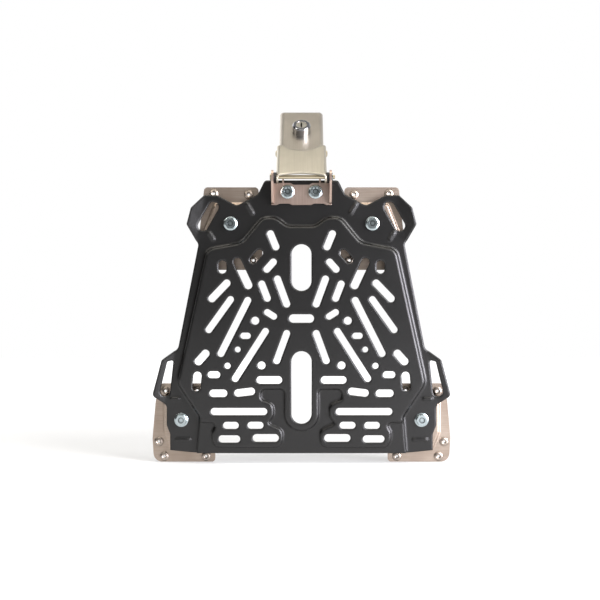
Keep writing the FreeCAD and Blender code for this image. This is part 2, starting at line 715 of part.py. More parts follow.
whole_top = fuse("whole_top", [top, mirror("top_left", top)])
rimmed_top = round_edges("rimmed_top", whole_top, [(lambda edge: lies_at(edge, 0), value(BEND_OUT))])
left_half = [mirror("folded_left", folded), mirror("panel_left", panel)]
pressed = fuse("pressed", [folded, panel, *left_half, rimmed_top])
bent = round_edges("bent", pressed, [(is_panel_root, value("dim.bend_in"))])
panel_inset = inset("panel_inset", panel_sketch, "dim.plate_t")
hollow_low = extrude("hollow_low", panel_inset, "dim.emboss - dim.recess", "1")
hollow_high = extrude("hollow_high", inset("top_inset", top_sketch, "dim.plate_t"),
                      "dim.recess - dim.plate_t", "dim.plate_t + 0.5")
doc.recompute()
hollows = [hollow_low, hollow_high]
trim_sketch = free_sketch("trim_outline", FACING, "y", f"{EAR_BACK} + dim.cut_over")
draw(trim_sketch, [[
    ("-dim.overlap", STRIP_END_Z, "0"),
    (STRIP_END_X, STRIP_END_Z, "0"),
    (FOOT_X, FOOT_Z, "0"),
    (f"{FOOT_X} + dim.tail_over", FOOT_Z, "0"),
    (f"{FOOT_X} + dim.tail_over", f"{OVERRUN} - dim.tail_over", "0"),
    ("-dim.overlap", f"{OVERRUN} - dim.tail_over", "0"),
]])
hollows.append(extrude("trim", trim_sketch, f"{EAR_BACK} + 2 * dim.cut_over"))
doc.recompute()
shell = cut("shell", bent, fuse("hollow", hollows + [mirror(f"{item.Name}_left", item) for item in hollows]))


def slot_cells(row, width):
    """Expressions of a slot: its two end centres and its width."""
    return (*SLOT_ENDS[row[0]], width)


bead_sketch = free_sketch("bead_outlines", FACING, "y", "dim.emboss + 0.5")
draw(bead_sketch, slots=[slot_cells(row, "dim.bead_w") for row in BEADS])
bead_bars = extrude("bead_bars", bead_sketch, "dim.bead_h + 0.5")
doc.recompute()
bead_top = value("dim.emboss - dim.bead_h")
bead_bend = 0.9 * value("dim.bead_h")
right_beads = round_edges("right_beads", bead_bars, [(lambda edge: lies_at(edge, bead_top), bead_bend)])
beaded = fuse("beaded", [shell, right_beads, mirror("left_beads", right_beads)])


def plate_cutter(name, outlines=(), slots=(), holes=()):
    """Solid that cuts shapes through every level of the plate."""
    sketch = free_sketch(f"{name}_outline", FACING, "y", f"{EAR_BACK} + dim.cut_over")
    draw(sketch, outlines, slots, holes)
    return extrude(f"{name}_cutter", sketch, f"{EAR_BACK} + 2 * dim.cut_over")


right_cutters = [plate_cutter("loop_hole", outlines=[cells(LOOP_HOLE)])]
for row in PAIRED_SLOTS:
    right_cutters.append(plate_cutter(row[0], slots=[slot_cells(row, f"dim.{row[0]}_w")]))
right_cutters.append(plate_cutter("round_holes", holes=cells(ROUND_HOLES)))
bolt_holes = [(*ANCHORS[post], BOLT_HOLE_R) for post in ("upper_post", "lower_post")]
bolt_holes.append(("dim.base_bolt_x", BASE_BOLT_Z, BOLT_HOLE_R))
right_cutters.append(plate_cutter("bolt_holes", holes=bolt_holes))
right_openings = doc.addObject("Part::Compound", "right_openings")
right_openings.Links = right_cutters
centre_cutters = [plate_cutter(row[0], slots=[slot_cells(row, f"dim.{row[0]}_w")]) for row in CENTRE_SLOTS]
doc.recompute()
slots = doc.addObject("Part::Compound", "openings")
slots.Links = [right_openings, mirror("left_openings", right_openings)] + centre_cutters
doc.recompute()
mounting_plate = cut("mounting_plate", beaded, slots)


# Case-side brackets: foot sheet with a pressed saddle, keyhole for the bush, rivet holes
def bracket(name, foot_table, saddle_table, post, rivets):
    foot_sketch = free_sketch(f"{name}_foot_outline", FACING, "y", CASE_Y)
    draw(foot_sketch, [cells(foot_table)])
    saddle_sketch = free_sketch(f"{name}_saddle_outline", FACING, "y", CASE_Y)
    draw(saddle_sketch, [cells(saddle_table)])
    foot = extrude(f"{name}_foot", foot_sketch, "dim.bracket_t")
    saddle = extrude(f"{name}_saddle", saddle_sketch, f"{CASE_Y} - ({SADDLE_FACE})")
    raised = fuse(f"{name}_raised", [foot, saddle])
    wire = saddle_sketch.Shape
    top_y = value(SADDLE_FACE)
    foot_y = value(f"{CASE_Y} - dim.bracket_t")
    bend = value("dim.saddle_bend")
    rounded = round_edges(f"{name}_rounded", raised, [
        (lambda edge: lies_at(edge, top_y), bend),
        (lambda edge: lies_at(edge, foot_y) and follows(edge, wire), bend),
    ])
    under = inset(f"{name}_under_outline", saddle_sketch, "dim.bracket_t")
    under_solid = extrude(f"{name}_under", under, f"{CASE_Y} - ({SADDLE_FACE}) - dim.bracket_t")
    hollowed = cut(f"{name}_hollowed", rounded, under_solid)
    entry_z = f"dim.{post}_z - dim.entry_drop"
    hole_sketch = free_sketch(f"{name}_holes", FACING, "y", f"{CASE_Y} + 1")
    rivet_holes = [(*RIVET_SPOTS[row[0]], RIVET_HOLE_R) for row in rivets]
    draw(hole_sketch, holes=rivet_holes + [(f"dim.{post}_x", entry_z, ENTRY_R)])
    neck_sketch = free_sketch(f"{name}_neck", FACING, "y", f"{CASE_Y} + 1")
    neck = (f"dim.{post}_x", f"dim.{post}_z", f"dim.{post}_x", entry_z, f"2 * {NECK_SLOT_R}")
    draw(neck_sketch, slots=[neck])
    depth = f"{CASE_Y} + 2 - ({SADDLE_FACE}) + 1"
    openings = [
        extrude(f"{name}_hole_cut", hole_sketch, depth),
        extrude(f"{name}_neck_cut", neck_sketch, depth),
    ]
    return cut(name, hollowed, fuse(f"{name}_openings", openings))


upper_right_bracket = bracket("upper_right_bracket", UPPER_FOOT, UPPER_SADDLE, "upper_post", UPPER_RIVETS)
lower_right_bracket = bracket("lower_right_bracket", LOWER_FOOT, LOWER_SADDLE, "lower_post", LOWER_RIVETS)
upper_left_bracket = mirror("upper_left_bracket", upper_right_bracket)
lower_left_bracket = mirror("lower_left_bracket", lower_right_bracket)

# Blind rivets: domed flange with the hollow left by the pulled stem
rivet = turned("rivet", [
    ("dim.rivet_bore_r", "dim.bracket_t"),
    ("dim.rivet_bore_r", "-0.62 * dim.rivet_head_h"),
    ("1.75 * dim.rivet_bore_r", "-dim.rivet_head_h"),
    ("0.62 * dim.rivet_head_r", "-0.94 * dim.rivet_head_h"),
    ("0.86 * dim.rivet_head_r", "-0.64 * dim.rivet_head_h"),
    ("dim.rivet_head_r", "-0.2 * dim.rivet_head_h"),
    ("dim.rivet_head_r", "0"),
    ("dim.rivet_shank_r", "0"),
    ("dim.rivet_shank_r", "dim.bracket_t"),
])
FOOT_FACE = f"{CASE_Y} - dim.bracket_t"


def rivet_places(table, sign):
    """Places of the rivets of a bracket, on the right or mirrored to the left."""
    places = []
    for row in table:
        x, z = RIVET_SPOTS[row[0]]
        places.append((f"{sign}{x}", FOOT_FACE, z))
    return places


upper_right_rivets = copies("upper_right_rivets", rivet, rivet_places(UPPER_RIVETS, ""))
upper_left_rivets = copies("upper_left_rivets", rivet, rivet_places(UPPER_RIVETS, "-"))
lower_right_rivets = copies("lower_right_rivets", rivet, rivet_places(LOWER_RIVETS, ""))
lower_left_rivets = copies("lower_left_rivets", rivet, rivet_places(LOWER_RIVETS, "-"))


# Flange bolts and nuts
def flange_bolt(name, length):
    body = turned(name, [
        ("0", "-0.4 * dim.bolt_head_h"),
        ("dim.bolt_r", "-0.4 * dim.bolt_head_h"),
        ("dim.bolt_flange_r - 1.6", "-dim.bolt_flange_h - 0.5"),
        ("dim.bolt_flange_r", "-dim.bolt_flange_h + 0.6"),
        ("dim.bolt_flange_r", "0"),
        ("dim.bolt_r", "0"),
        ("dim.bolt_r", f"{length} - 0.8"),
        ("dim.bolt_r - 0.8", length),
        ("0", length),
    ])
    head = body_sketch(body, f"{name}_hexagon", "XZ_Plane", "0.5")
    draw(head, [hexagon("0", "0", "dim.bolt_hex_r")])
    pad(body, f"{name}_head", head, "dim.bolt_head_h - 0.5")
    dish = body_sketch(body, f"{name}_dish_outline", "XZ_Plane", "dim.bolt_head_h")
    draw(dish, holes=[("0", "0", "dim.bolt_dish_r")])
    pocket(body, f"{name}_dish", dish, "dim.bolt_dish_d")
    return body


def hex_nut(name, height, corner_radius, bore):
    """Hexagon nut that stands on y = 0 and reaches to y = height."""
    body = doc.addObject("PartDesign::Body", name)
    outline_sketch = body_sketch(body, f"{name}_hexagon", "XZ_Plane", f"-({height})")
    draw(outline_sketch, [hexagon("0", "0", corner_radius)], holes=[("0", "0", bore)])
    pad(body, f"{name}_pad", outline_sketch, height)
    return body


def corner_places(depth):
    places = []
    for post in ("upper_post", "lower_post"):
        for sign in ("", "-"):
            places.append((f"{sign}dim.{post}_x", depth, f"dim.{post}_z"))
    return places


post_bolt = flange_bolt("post_bolt", POST_LEN)
corner_bolts = copies("corner_bolts", post_bolt, corner_places("dim.emboss"))
bush = turned("bush", [
    (BUSH_BORE_R, "0"),
    ("dim.bush_neck_r", "0"),
    ("dim.bush_neck_r", BUSH_NECK_H),
    ("dim.bush_head_r", BUSH_NECK_H),
    ("dim.bush_head_r", f"{BUSH_NECK_H} + dim.bush_head_h"),
    (BUSH_BORE_R, f"{BUSH_NECK_H} + dim.bush_head_h"),
])
corner_bushes = copies("corner_bushes", bush, corner_places(EAR_BACK))
thin_nut = hex_nut("thin_nut", "dim.nut_h", "dim.bolt_hex_r", NUT_BORE_R)
corner_nuts = copies("corner_nuts", thin_nut, corner_places(NUT_SEAT))

# Latch base: folded sheet with two ears for the hinge pin
BASE_FACE = "dim.emboss - dim.base_t"
base_sketch = free_sketch("base_outline", FACING, "y", "dim.emboss")
base_right = [
    ("dim.dip_half", f"{BASE_TOP_Z} - dim.dip_d"),
    ("dim.dip_half + dim.edge_run", BASE_TOP_Z),
    (BASE_HALF, BASE_TOP_Z),
    (BASE_HALF, BASE_BOTTOM_Z),
    ("dim.wave_out", BASE_BOTTOM_Z),
    ("dim.wave_out - dim.edge_run", f"{BASE_BOTTOM_Z} + dim.wave_d"),
    ("dim.wave_in + dim.edge_run", f"{BASE_BOTTOM_Z} + dim.wave_d"),
    ("dim.wave_in", BASE_BOTTOM_Z),
]
base_left = [(f"-({x})", z) for x, z in reversed(base_right)]
draw(base_sketch, [[(x, z, "0") for x, z in base_right + base_left]])
base_sheet = extrude("base_sheet", base_sketch, "dim.base_t")
ear_sketch = free_sketch("base_ear_outline", SIDE, "x", f"{BASE_HALF} - dim.base_ear_t")
draw(ear_sketch, [[
    ("dim.emboss", BASE_BOTTOM_Z, "0"),
    ("dim.emboss", BASE_TOP_Z, "0"),
    ("dim.pivot_y + dim.ear_nose_r", f"{PIVOT_Z} + dim.ear_nose_r", "0.9 * dim.ear_nose_r"),
    ("dim.pivot_y - dim.ear_nose_r", f"{PIVOT_Z} + dim.ear_nose_r", "0.9 * dim.ear_nose_r"),
    ("dim.pivot_y - dim.ear_nose_r", f"{PIVOT_Z} - 0.8 * dim.ear_nose_r", "dim.ear_nose_r"),
    ("dim.emboss - dim.base_t - 2.5", f"{BASE_BOTTOM_Z} + 2", "2"),
]])
right_ear = extrude("base_right_ear", ear_sketch, "dim.base_ear_t")
left_ear = mirror("base_left_ear", right_ear)
stop_sketch = free_sketch("stop_outlines", FACING, "y", "dim.emboss")
STOP_LEFT, STOP_RIGHT = "dim.stop_x - dim.stop_w / 2", "dim.stop_x + dim.stop_w / 2"
draw(stop_sketch, [[
    (STOP_LEFT, STOP_TOP_Z, "0"),
    (STOP_RIGHT, STOP_TOP_Z, "0"),
    (STOP_RIGHT, f"{BASE_TOP_Z} - 2", "0"),
    (STOP_LEFT, f"{BASE_TOP_Z} - 2", "0"),
]])
right_stop = extrude("right_stop", stop_sketch, "dim.emboss - dim.stop_front_y")
left_stop = mirror("left_stop", right_stop)
base_blank = fuse("base_folded", [base_sheet, right_ear, left_ear, right_stop, left_stop])
base_side = value(BASE_HALF)


def is_base_fold(edge):
    box = edge.BoundBox
    at_side = abs(abs(box.XMin) - base_side) < 1e-3 and abs(box.XMax - box.XMin) < 1e-3
    return at_side and lies_at(edge, ear_face) and box.ZLength > 10


base_rounded = round_edges("base_rounded", base_blank, [(is_base_fold, value(BASE_BEND))])
base_holes = free_sketch("base_holes", FACING, "y", "dim.emboss + 1")
draw(base_holes, holes=[
    ("dim.base_bolt_x", BASE_BOLT_Z, BOLT_HOLE_R),
    ("-dim.base_bolt_x", BASE_BOLT_Z, BOLT_HOLE_R),
])
pin_bore = free_sketch("pin_bore_outline", SIDE, "x", f"-{BASE_HALF} - 1")
draw(pin_bore, holes=[("dim.pivot_y", PIVOT_Z, PIN_HOLE_R)])
base_cuts = fuse("base_cuts", [
    extrude("base_hole_cut", base_holes, "dim.base_t + 2"),
    extrude("pin_bore_cut", pin_bore, f"2 * {BASE_HALF} + 2"),
])
latch_base = cut("latch_base", base_rounded, base_cuts)

base_bolt = flange_bolt("base_bolt", BASE_BOLT_LEN)
base_places = [("dim.base_bolt_x", BASE_FACE, BASE_BOLT_Z), ("-dim.base_bolt_x", BASE_FACE, BASE_BOLT_Z)]
latch_base_bolts = copies("latch_base_bolts", base_bolt, base_places)
base_nut = hex_nut("base_nut", "dim.base_nut_h", "dim.bolt_hex_r", NUT_BORE_R)
latch_base_nuts = copies("latch_base_nuts", base_nut, [(x, EAR_BACK, z) for x, y, z in base_places])

# Hinge pin, its clip and the two washers between the base ears and the hasp
hinge_pin = turned("hinge_pin", [
    ("0", f"-{BASE_HALF} - dim.pin_head_h"),
    ("dim.pin_head_r - 0.6", f"-{BASE_HALF} - dim.pin_head_h"),
    ("dim.pin_head_r", f"-{BASE_HALF} - dim.pin_head_h + 0.6"),
    ("dim.pin_head_r", f"-{BASE_HALF}"),
    ("dim.pin_r", f"-{BASE_HALF}"),
    ("dim.pin_r", f"{BASE_HALF} + dim.pin_tail - 0.5"),
    ("dim.pin_r - 0.5", f"{BASE_HALF} + dim.pin_tail"),
    ("0", f"{BASE_HALF} + dim.pin_tail"),
])
ALONG_PIN = Rotation(Vector(0, 0, 1), -90)
PIVOT = ("0", "dim.pivot_y", PIVOT_Z)


def place(item, position, rotation):
    item.Placement = Placement(Vector(), rotation)
    for axis, expression in zip("xyz", position):
        item.setExpression(f"Placement.Base.{axis}", expression)
    doc.recompute()


place(hinge_pin, PIVOT, ALONG_PIN)
hinge_clip = turned("hinge_clip", [
    ("dim.pin_r + 0.05", BASE_HALF),
    ("dim.clip_r", BASE_HALF),
    ("dim.clip_r", f"{BASE_HALF} + dim.clip_h"),
    ("dim.pin_r + 0.05", f"{BASE_HALF} + dim.clip_h"),
])
place(hinge_clip, PIVOT, ALONG_PIN)
right_washer = turned("right_washer", [
    (PIN_HOLE_R, "dim.sleeve_half + dim.washer_gap"),
    ("dim.washer_r", "dim.sleeve_half + dim.washer_gap"),
    ("dim.washer_r", f"{BASE_HALF} - dim.base_ear_t - dim.washer_gap"),
    (PIN_HOLE_R, f"{BASE_HALF} - dim.base_ear_t - dim.washer_gap"),
])
place(right_washer, PIVOT, ALONG_PIN)
left_washer = mirror("left_washer", right_washer)
hinge_washers = doc.addObject("Part::Compound", "hinge_washers")
hinge_washers.Links = [right_washer, left_washer]
doc.recompute()


# Hasp: the sleeve with hinge lugs and the tongue that carries the lock, both drawn upright
def channel(name, half, thickness, front, back, bottom, top, bend):
    """Channel that faces -Y: outer block less the inside, with rounded outer bends."""
    outer_sketch = free_sketch(f"{name}_section", ABOVE, "z", bottom)
    draw(outer_sketch, [[
        (f"-({half})", back, "0"),
        (half, back, "0"),
        (half, front, bend),
        (f"-({half})", front, bend),
    ]])
    inner_sketch = free_sketch(f"{name}_inside", ABOVE, "z", f"{bottom} - 1")
    inner_bend = f"({bend}) - ({thickness})"
    draw(inner_sketch, [[
        (f"-({half}) + {thickness}", f"{back} + 1", "0"),
        (f"({half}) - {thickness}", f"{back} + 1", "0"),
        (f"({half}) - {thickness}", f"{front} + {thickness}", inner_bend),
        (f"-({half}) + {thickness}", f"{front} + {thickness}", inner_bend),
    ]])
    outer = extrude(f"{name}_outer", outer_sketch, f"({top}) - ({bottom})")
    inner = extrude(f"{name}_inner", inner_sketch, f"({top}) - ({bottom}) + 2")
    return cut(f"{name}_channel", outer, inner)


LUG = "dim.ear_nose_r"
sleeve_channel = channel("sleeve", "dim.sleeve_half", "dim.sleeve_t", "-dim.sleeve_face", "dim.sleeve_back",
                         f"-{LUG}", "dim.sleeve_top", "dim.sleeve_bend")
lug_sketch = free_sketch("lug_outline", SIDE, "x", "-dim.sleeve_half - 1")
draw(lug_sketch, [[
    (f"-{LUG}", f"-{LUG}", f"0.99 * {LUG}"),
    (f"{LUG}", f"-{LUG}", f"0.99 * {LUG}"),
    (f"{LUG}", "dim.sleeve_top + 1", "0"),
    (f"-{LUG}", "dim.sleeve_top + 1", "0"),
]])
lugs = extrude("sleeve_lugs", lug_sketch, "2 * dim.sleeve_half + 2")
lugged = common("sleeve_lugged", [sleeve_channel, lugs])
scoop_sketch = free_sketch("scoop_outline", FACING, "y", "-dim.sleeve_face + dim.sleeve_t + 0.5")
SCOOP_R = "(dim.scoop_half ^ 2 + dim.scoop_d ^ 2) / (2 * dim.scoop_d)"
FACE_END = f"-sqrt({LUG} ^ 2 - dim.sleeve_face ^ 2)"
MOUTH_R = "(dim.mouth_half ^ 2 + dim.mouth_d ^ 2) / (2 * dim.mouth_d)"
draw(scoop_sketch, holes=[
    ("0", f"dim.sleeve_top - dim.scoop_d + {SCOOP_R}", SCOOP_R),
    ("0", f"{FACE_END} + dim.mouth_d - {MOUTH_R}", MOUTH_R),
])
side_bores = free_sketch("sleeve_bore_outlines", SIDE, "x", "-dim.sleeve_half - 1")
draw(side_bores, holes=[("0", "0", PIN_HOLE_R), ("dim.cross_y", "dim.cross_z", CROSS_HOLE_R)])
sleeve_cuts = fuse("sleeve_cuts", [
    extrude("scoop_cut", scoop_sketch, "dim.sleeve_t + 2"),
    extrude("sleeve_bore_cut", side_bores, "2 * dim.sleeve_half + 2"),
])
hasp_sleeve = cut("hasp_sleeve", lugged, sleeve_cuts)

TONGUE_FACE = "-dim.sleeve_face + dim.sleeve_t"
tongue_channel = channel("tongue", TONGUE_HALF, "dim.tongue_t", TONGUE_FACE, "dim.tongue_back",
                         "dim.tongue_root", "dim.tongue_tip", "dim.tongue_bend")
tip_sketch = free_sketch("tongue_tip_outline", SIDE, "x", f"-{TONGUE_HALF} - 1")
draw(tip_sketch, [[
    (f"{TONGUE_FACE} - 1", "dim.tongue_root - 1", "0"),
    ("dim.tongue_back + 1", "dim.tongue_root - 1", "0"),
    ("dim.tongue_back + 1", "dim.tongue_tip", "dim.tongue_tip_r"),
    (f"{TONGUE_FACE} - 1", "dim.tongue_tip", "0"),
]])
tip_block = extrude("tongue_tip_block", tip_sketch, f"2 * {TONGUE_HALF} + 2")
tongue_trimmed = common("tongue_trimmed", [tongue_channel, tip_block])
lock_bore = free_sketch("lock_bore_outline", FACING, "y", f"{TONGUE_FACE} + dim.tongue_t + 1")
draw(lock_bore, holes=[("0", "dim.lock_z", LOCK_HOLE_R)])
cross_bore = free_sketch("cross_bore_outline", SIDE, "x", f"-{TONGUE_HALF} - 1")
draw(cross_bore, holes=[("dim.cross_y", "dim.cross_z", CROSS_HOLE_R)])
tongue_cuts = fuse("tongue_cuts", [
    extrude("lock_bore_cut", lock_bore, "dim.tongue_t + 2"),
    extrude("cross_bore_cut", cross_bore, f"2 * {TONGUE_HALF} + 2"),
])
lock_tongue = cut("lock_tongue", tongue_trimmed, tongue_cuts)

tongue_rivet = turned("tongue_rivet", [
    ("0", "-dim.sleeve_half - dim.cross_head_h"),
    ("0.6 * dim.cross_head_r", "-dim.sleeve_half - 0.9 * dim.cross_head_h"),
    ("dim.cross_head_r", "-dim.sleeve_half - 0.3 * dim.cross_head_h"),
    ("dim.cross_head_r", "-dim.sleeve_half"),
    ("dim.cross_r", "-dim.sleeve_half"),
    ("dim.cross_r", "dim.sleeve_half"),
    ("dim.cross_head_r", "dim.sleeve_half"),
    ("dim.cross_head_r", "dim.sleeve_half + 0.3 * dim.cross_head_h"),
    ("0.6 * dim.cross_head_r", "dim.sleeve_half + 0.9 * dim.cross_head_h"),
    ("0", "dim.sleeve_half + dim.cross_head_h"),
])

# Key lock, drawn about its own axis with the tongue face at y = 0
lock_barrel = turned("lock_barrel", [
    (PLUG_BORE_R, "-dim.lock_head_h"),
    ("dim.lock_head_r - dim.lock_edge", "-dim.lock_head_h"),
    ("dim.lock_head_r", "-dim.lock_head_h + dim.lock_edge"),
    ("dim.lock_head_r", "0"),
    ("dim.lock_body_r", "0"),
    ("dim.lock_body_r", "dim.lock_tail"),
    (PLUG_BORE_R, "dim.lock_tail"),
])
lock_plug = turned("lock_plug", [
    ("0", "-dim.lock_head_h + dim.plug_set_back"),
    ("dim.plug_r", "-dim.lock_head_h + dim.plug_set_back"),
    ("dim.plug_r", "dim.lock_tail + 0.2"),
    (CAM_SCREW_HOLE_R, "dim.lock_tail + 0.2"),
    (CAM_SCREW_HOLE_R, "dim.lock_tail + dim.cam_t - dim.cam_screw_len"),
    ("0", "dim.lock_tail + dim.cam_t - dim.cam_screw_len"),
])
keyway = body_sketch(lock_plug, "keyway_outline", "XZ_Plane", "dim.lock_head_h - dim.plug_set_back")
draw(keyway, [[
    ("-dim.key_w / 2", "-dim.key_h / 2", "0"),
    ("dim.key_w / 2", "-dim.key_h / 2", "0"),
    ("dim.key_w / 2", "dim.key_h / 2", "0"),
    ("-dim.key_w / 2", "dim.key_h / 2", "0"),
]])
pocket(lock_plug, "keyway", keyway, "dim.key_d")
lock_ring_nut = hex_nut("lock_ring_nut", "dim.ring_h", "dim.ring_hex_r", LOCK_HOLE_R)
lock_cam = doc.addObject("PartDesign::Body", "lock_cam")
cam_sketch = body_sketch(lock_cam, "cam_outline", "XZ_Plane", "-dim.lock_tail - dim.cam_t - 0.2")
cam_arm = ("0", "0", "0", "-dim.cam_len + dim.cam_w / 2", "dim.cam_w")
draw(cam_sketch, slots=[cam_arm], holes=[("0", "0", CAM_SCREW_HOLE_R)])
pad(lock_cam, "cam_pad", cam_sketch, "dim.cam_t")
CAM_BACK = "dim.lock_tail + dim.cam_t + 0.2"
cam_screw = turned("cam_screw", [
    ("0", f"{CAM_BACK} - dim.cam_screw_len"),
    ("dim.cam_screw_shank_r", f"{CAM_BACK} - dim.cam_screw_len"),
    ("dim.cam_screw_shank_r", CAM_BACK),
    ("dim.cam_screw_r", CAM_BACK),
    ("dim.cam_screw_r", f"{CAM_BACK} + 0.6 * dim.cam_screw_h"),
    ("0.6 * dim.cam_screw_r", f"{CAM_BACK} + dim.cam_screw_h"),
    ("0", f"{CAM_BACK} + dim.cam_screw_h"),
])

# The hasp leans back over the case edge: its pieces turn about the pin, and the lock pieces
# sit on the tongue face along the lean
LEAN = Rotation(Vector(1, 0, 0), value("dim.hasp_lean"))
for piece in (hasp_sleeve, lock_tongue):
    place(piece, PIVOT, LEAN)


def on_hasp(y, z):
    """World place of a point of the upright hasp."""
    return ("0", f"dim.pivot_y + ({y}) * cos(dim.hasp_lean) - ({z}) * sin(dim.hasp_lean)",
            f"{PIVOT_Z} + ({y}) * sin(dim.hasp_lean) + ({z}) * cos(dim.hasp_lean)")


place(tongue_rivet, on_hasp("dim.cross_y", "dim.cross_z"), ALONG_PIN)
for piece in (lock_barrel, lock_plug, lock_cam, cam_screw):
    place(piece, on_hasp(TONGUE_FACE, "dim.lock_z"), LEAN)
place(lock_ring_nut, on_hasp(f"{TONGUE_FACE} + dim.tongue_t", "dim.lock_z"), LEAN)

# Check every object, then write one file per node
NODES = [
    mounting_plate, corner_bolts, corner_bushes, corner_nuts,
    upper_left_bracket, upper_right_bracket, lower_left_bracket, lower_right_bracket,
    upper_left_rivets, upper_right_rivets, lower_left_rivets, lower_right_rivets,
    latch_base, latch_base_bolts, latch_base_nuts, hinge_pin, hinge_clip, hinge_washers,
    hasp_sleeve, lock_tongue, tongue_rivet,
    lock_barrel, lock_ring_nut, lock_plug, lock_cam, cam_screw,
]
doc.recompute()
for item in doc.Objects:
    if "Invalid" in item.State:
        raise RuntimeError(f"{item.Name} did not recompute: {item.State}")
for node in NODES:
    shape = node.Shape
    if shape.isNull() or not shape.isValid() or not shape.Solids:
        raise RuntimeError(f"{node.Name} has no valid solid")
    shape.exportStep(f"parts/{node.Name}.step")
    box = shape.BoundBox
    print(f"{node.Name}: {len(shape.Solids)} solids, {shape.Volume:.0f} mm3, "
          f"x {box.XMin:.1f} {box.XMax:.1f}  y {box.YMin:.1f} {box.YMax:.1f}  "
          f"z {box.ZMin:.1f} {box.ZMax:.1f}")
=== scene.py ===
# %% [markdown]
# Mounting plate with a locking hasp
#
# The part is a pressed steel plate with slots for a motorcycle rack. Four bolts hold it to
# sheet steel brackets, and a hinged hasp with a key lock stands at its top edge. The CAD
# model already has every form at its real size, so this file only adds what the CAD leaves
# out: softened edges, threads, finishes, light and a camera.

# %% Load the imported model
import math

import bpy
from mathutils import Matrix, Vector


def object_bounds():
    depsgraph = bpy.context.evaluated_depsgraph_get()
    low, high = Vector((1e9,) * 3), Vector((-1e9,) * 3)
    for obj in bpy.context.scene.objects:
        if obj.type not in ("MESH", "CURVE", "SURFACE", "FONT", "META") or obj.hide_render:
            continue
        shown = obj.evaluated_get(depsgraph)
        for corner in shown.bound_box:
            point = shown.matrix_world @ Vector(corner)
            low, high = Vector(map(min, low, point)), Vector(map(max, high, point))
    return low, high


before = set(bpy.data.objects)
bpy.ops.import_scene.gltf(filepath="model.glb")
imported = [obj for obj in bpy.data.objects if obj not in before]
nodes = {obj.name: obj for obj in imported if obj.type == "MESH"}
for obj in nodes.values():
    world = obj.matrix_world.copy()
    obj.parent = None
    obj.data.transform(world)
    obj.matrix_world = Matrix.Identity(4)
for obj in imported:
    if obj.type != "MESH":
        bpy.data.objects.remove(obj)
cad_low, cad_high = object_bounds()
print("nodes", len(nodes), "box", [round(v, 4) for v in (*cad_low, *cad_high)])

# %% [markdown]
# Sheet metal is cut, tumbled and coated, so none of its edges is razor sharp. Such small
# rounds could be fillets in the CAD, but hundreds of them would make the solids heavy. A
# bevel modifier rounds each sharp edge here instead, so that it catches the light. The
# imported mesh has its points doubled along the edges, so a weld comes first, and weighted
# normals come last to keep the large faces flat.

# %% Soften the cut edges
# Sizes of the part and of its patterns are in millimetres, and MM turns them into metres.
MM = 0.001
EDGE_ROUND = {
    "mounting_plate": 0.35,
    "upper_left_bracket": 0.25,
    "upper_right_bracket": 0.25,
    "lower_left_bracket": 0.25,
    "lower_right_bracket": 0.25,
    "latch_base": 0.25,
    "hasp_sleeve": 0.3,
    "lock_tongue": 0.3,
    "corner_bolts": 0.15,
    "latch_base_bolts": 0.15,
    "lock_barrel": 0.2,
}
EDGE_ANGLE = math.radians(38)
EDGE_STEPS = 2
WELD_GAP = 0.002
FLATNESS = 60

for name, radius in EDGE_ROUND.items():
    piece = nodes[name]
    weld = piece.modifiers.new("join_points", "WELD")
    weld.merge_threshold = WELD_GAP * MM
    rounding = piece.modifiers.new("edge_round", "BEVEL")
    rounding.width = radius * MM
    rounding.segments = EDGE_STEPS
    rounding.limit_method = "ANGLE"
    rounding.angle_limit = EDGE_ANGLE
    normals = piece.modifiers.new("flat_faces", "WEIGHTED_NORMAL")
    normals.weight = FLATNESS
print("softened", len(EDGE_ROUND), "nodes")

# %% [markdown]
# Every finish below is a node tree. It could be wired by hand in the shader editor, but a
# script builds it the same way each time. Colours are written as sRGB hex values, the way
# a screen shows them, and one function turns them into the linear values that the shader
# needs. Another adds one node and fills or links its sockets, and three short ones start
# a material, turn a size into a texture scale and dress the nodes.

# %% Helpers for the finishes
def linear(hex_colour):
    """The linear colour of an sRGB hex value such as "c0ffee"."""
    channels = [int(hex_colour[i:i + 2], 16) / 255 for i in (0, 2, 4)]
    bent = [c / 12.92 if c <= 0.04045 else ((c + 0.055) / 1.055) ** 2.4 for c in channels]
    return (*bent, 1.0)


def add_node(tree, kind, sockets=None, **settings):
    """Adds one node to a tree, with its settings, its socket values and its links."""
    made = tree.nodes.new(kind)
    for name, value in settings.items():
        setattr(made, name, value)
    for name, value in (sockets or {}).items():
        if isinstance(value, bpy.types.NodeSocket):
            tree.links.new(value, made.inputs[name])
        else:
            made.inputs[name].default_value = value
    return made


def new_finish(name):
    """An empty material, its tree and the object coordinates in metres."""
    finish = bpy.data.materials.new(name)
    finish.use_nodes = True
    finish.node_tree.nodes.clear()
    place = add_node(finish.node_tree, "ShaderNodeTexCoord")
    return finish, finish.node_tree, place.outputs["Object"]


def per_metre(size_mm):
    """The texture scale at which one grain of a noise is about this many millimetres."""
    return 1.0 / (size_mm * MM)


def dress(finish, *names):
    """Gives the named nodes this finish alone."""
    for name in names:
        slots = nodes[name].data.materials
        slots.clear()
        slots.append(finish)
    print(finish.name, "on", ", ".join(names))


print("808080 is", round(linear("808080")[0], 3), "as a linear value")

# %% [markdown]
# The plate is mild steel with a black polyester powder coat. The powder melts into a
# satin skin with a fine leathery texture, so the light breaks up a little on the flat
# panel. An image could show that, but a noise measured in millimetres needs no unwrapping.
# The press leaves wide soft bends and the coat flows over them. The CAD mesh stays as it
# is, so a bevel node turns only the shading, over a few millimetres at each bend.

# %% Powder coated steel
# A real coat has grains of about 0.4 mm, which are drawn at 1.3 mm so that they show.
COAT_GRAIN = 1.3
COAT_CLOUD = 45
COAT_RELIEF = 0.15
COAT_ROUGH = (0.25, 0.33)
COAT_FLOW = 3.0
BEND_SAMPLES = 6

